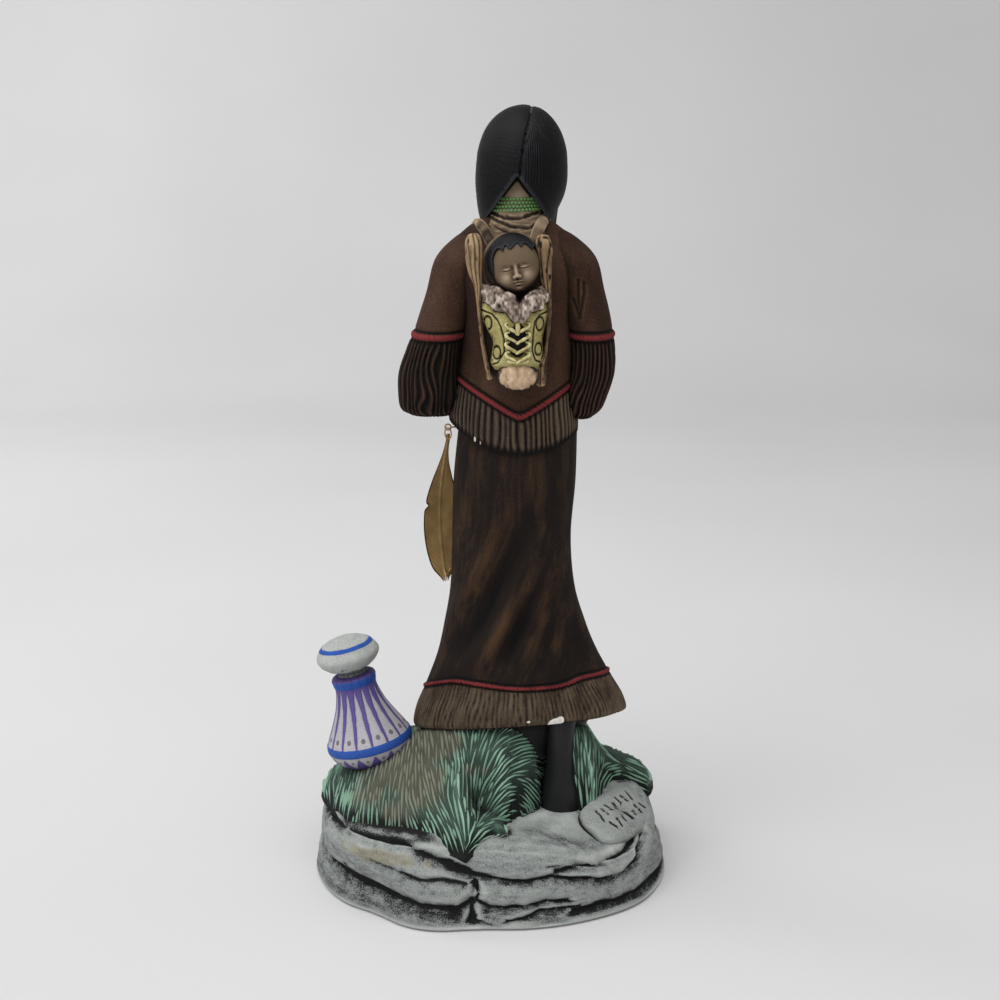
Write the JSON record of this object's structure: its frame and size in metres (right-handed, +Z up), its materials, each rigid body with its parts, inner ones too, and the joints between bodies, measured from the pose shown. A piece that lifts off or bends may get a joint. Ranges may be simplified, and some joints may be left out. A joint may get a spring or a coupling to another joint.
{
  "type": "ceramic figurine",
  "caption": "Painted ceramic figurine of a walking woman with a baby in a cradleboard on her back, on a rocky grassy base beside a stoppered jar, with a hanging brass feather.",
  "frame": {"origin": "centre of the object's footprint, on the floor", "axes": "+Z up; +Y the way the woman faces; +X towards her right hand side"},
  "size_m": [0.2006, 0.1702, 0.43],
  "materials": {
    "painted_ceramic": "matte",
    "jar_ceramic": "matte",
    "brass": "satin"
  },
  "bodies": {
    "root": {"figurine": "painted_ceramic", "jar_stopper": "jar_ceramic", "brass_eye": "brass", "brass_ring": "brass", "brass_feather": "brass"}
  },
  "joints": []
}
